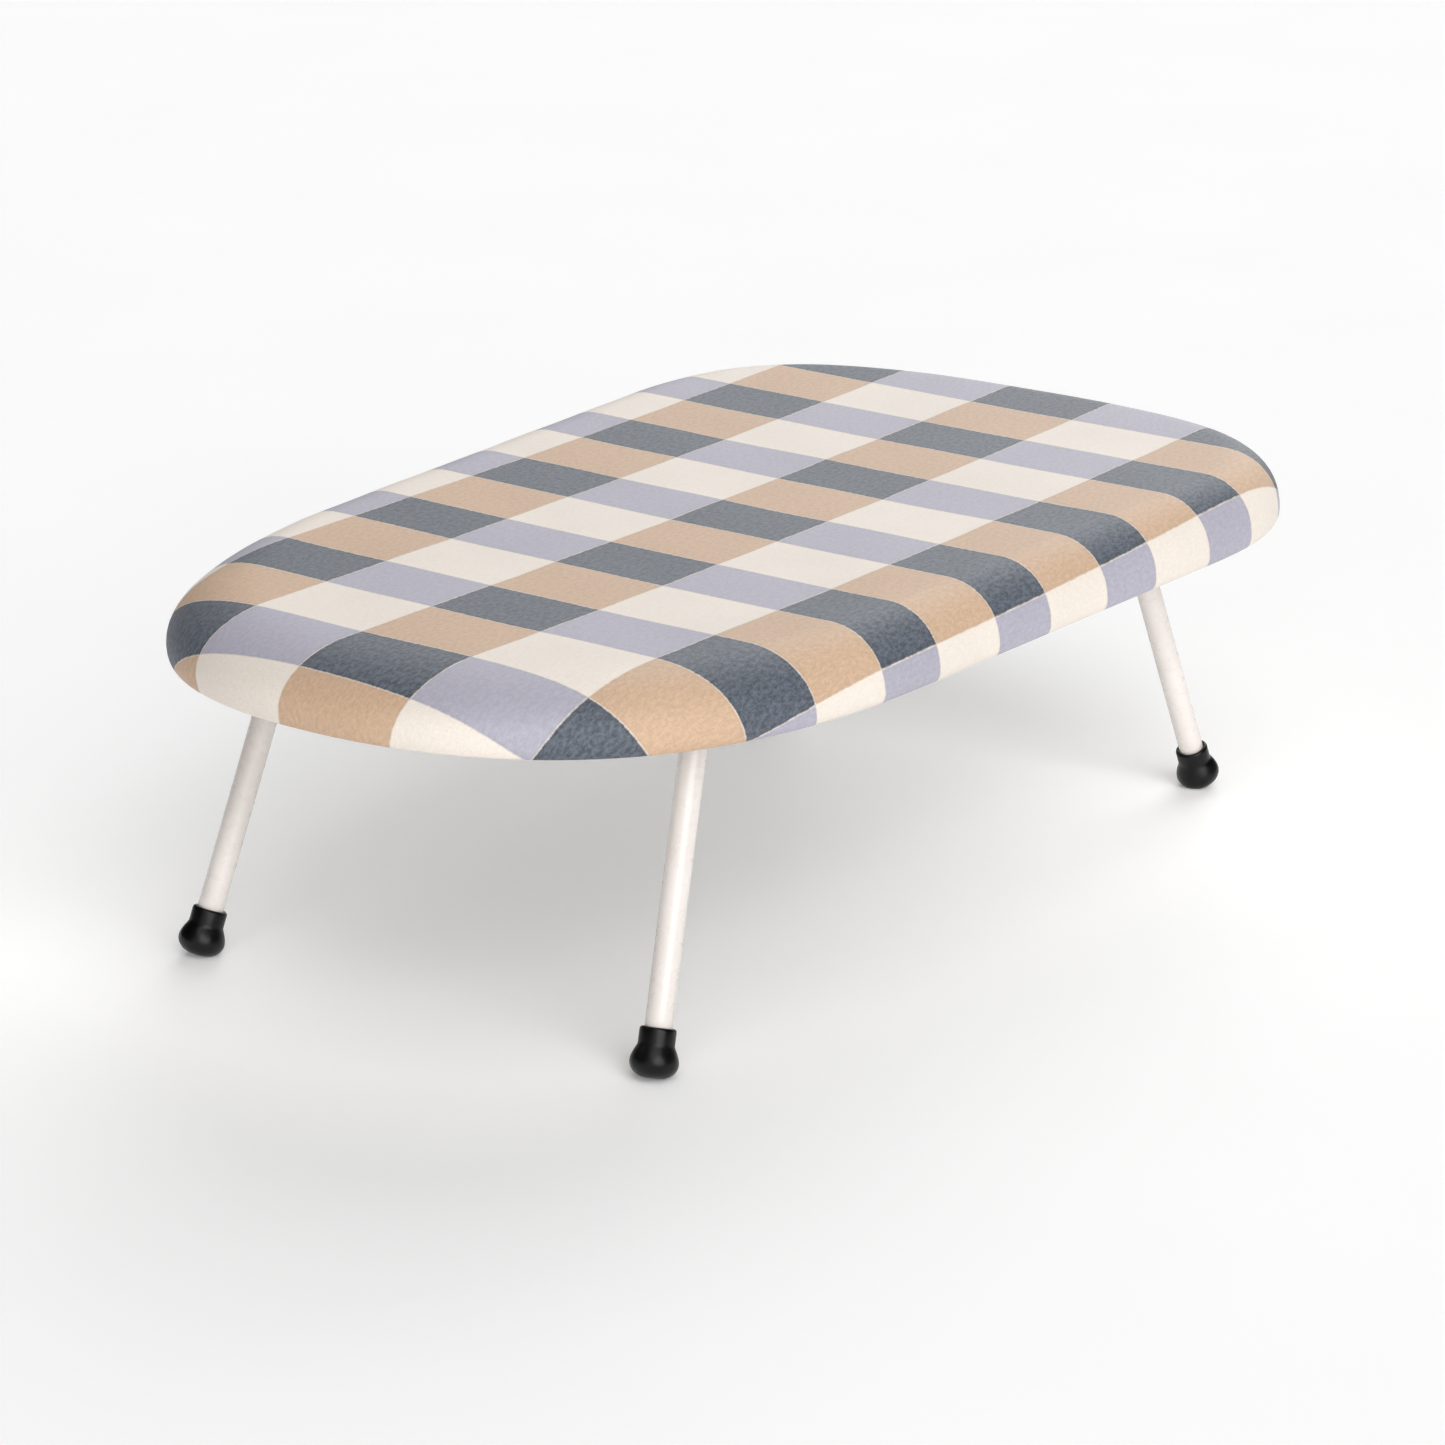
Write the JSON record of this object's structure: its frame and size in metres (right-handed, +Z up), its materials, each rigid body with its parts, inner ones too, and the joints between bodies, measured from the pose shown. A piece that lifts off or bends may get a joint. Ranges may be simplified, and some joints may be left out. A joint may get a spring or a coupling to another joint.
{
  "type": "tabletop ironing board",
  "caption": "Tabletop ironing board with a rounded nose, padded checked fabric cover and short folding tube legs with rubber feet.",
  "frame": {"origin": "on the floor under the middle of the board's bounding box", "axes": "+X towards the square tail, +Y across the board, +Z up"},
  "size_m": [0.6, 0.3602, 0.1779],
  "materials": {
    "cover": "taut woven cotton in a soft blue-grey, lavender, beige and cream check",
    "foam": "open-cell foam pad",
    "elastic": "braided elastic cord",
    "deck_steel": "light grey painted sheet steel",
    "white_steel": "glossy warm white powder coat",
    "rivet_steel": "zinc-plated steel",
    "bush_plastic": "moulded nylon",
    "black_rubber": "satin black rubber"
  },
  "bodies": {
    "board": {"fabric_cover": "cover", "foam_pad": "foam", "hem_elastic": "elastic", "mesh_panel": "deck_steel", "rim_tube": "deck_steel", "nose_rest_strap": "deck_steel", "tail_rest_strap": "deck_steel", "nose_pivot_strap": "deck_steel", "nose_saddle_left": "deck_steel", "nose_bush_left": "bush_plastic", "nose_rivet_left_outer": "rivet_steel", "nose_rivet_left_inner": "rivet_steel", "nose_saddle_right": "deck_steel", "nose_bush_right": "bush_plastic", "nose_rivet_right_outer": "rivet_steel", "nose_rivet_right_inner": "rivet_steel", "tail_pivot_strap": "deck_steel", "tail_saddle_left": "deck_steel", "tail_bush_left": "bush_plastic", "tail_rivet_left_outer": "rivet_steel", "tail_rivet_left_inner": "rivet_steel", "tail_saddle_right": "deck_steel", "tail_bush_right": "bush_plastic", "tail_rivet_right_outer": "rivet_steel", "tail_rivet_right_inner": "rivet_steel"},
    "nose_legs": {"nose_leg_frame": "white_steel", "nose_foot_left": "black_rubber", "nose_foot_right": "black_rubber"},
    "tail_legs": {"tail_leg_frame": "white_steel", "tail_foot_left": "black_rubber", "tail_foot_right": "black_rubber"}
  },
  "joints": [
    {"name": "nose_leg_fold", "type": "hinge", "parent": "board", "child": "nose_legs", "pos_m": [-0.175, 0, 0.1539], "axis": [0, -1, 0], "range_deg": [0, 109]},
    {"name": "tail_leg_fold", "type": "hinge", "parent": "board", "child": "tail_legs", "pos_m": [0.185, 0, 0.1539], "axis": [0, 1, 0], "range_deg": [0, 109]}
  ]
}
